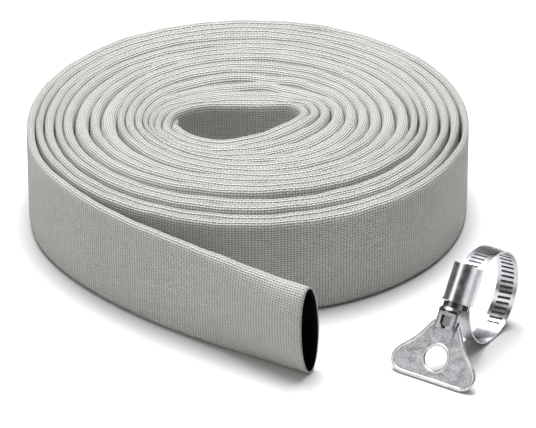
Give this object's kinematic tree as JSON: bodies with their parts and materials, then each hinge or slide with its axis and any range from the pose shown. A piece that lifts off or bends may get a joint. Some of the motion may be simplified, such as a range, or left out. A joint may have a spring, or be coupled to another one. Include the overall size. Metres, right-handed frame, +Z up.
{
  "type": "rolled fire hose",
  "caption": "Flat woven fire hose rolled up on its edge into a tight coil with its open end drawn out, beside a loose worm-drive hose clamp with a wing key",
  "frame": {"origin": "middle of the whole set's footprint, on the surface that it stands on", "axes": "+X is the way the hose's open end points, +Z is up, along the roll's axis, and +Y points from the drawn-out end to the roll"},
  "size_m": [0.315, 0.2564, 0.055],
  "materials": {
    "hose_jacket": "woven, matte",
    "hose_liner": "matte",
    "clamp_band": "bright, brushed",
    "clamp_housing": "bright, pressed",
    "clamp_screw": "zinc plated",
    "clamp_key": "satin, zinc plated"
  },
  "bodies": {
    "hose": {"hose_jacket_roll": "hose_jacket", "hose_jacket_tail": "hose_jacket", "hose_liner_roll": "hose_liner", "hose_liner_tail": "hose_liner"},
    "clamp": {"clamp_band": "clamp_band", "clamp_housing": "clamp_housing"},
    "screw": {"worm_screw": "clamp_screw", "wing_key": "clamp_key"}
  },
  "joints": [
    {"name": "clamp_lift", "type": "slide", "parent": "hose", "child": "clamp", "axis": [0, 0, 1], "range_m": [0, 0.06]},
    {"name": "screw_turn", "type": "hinge", "parent": "clamp", "child": "screw", "pos_m": [0.13496, -0.07312, 0.0419], "axis": [-0.0293, -0.5584, -0.829], "continuous": true}
  ]
}
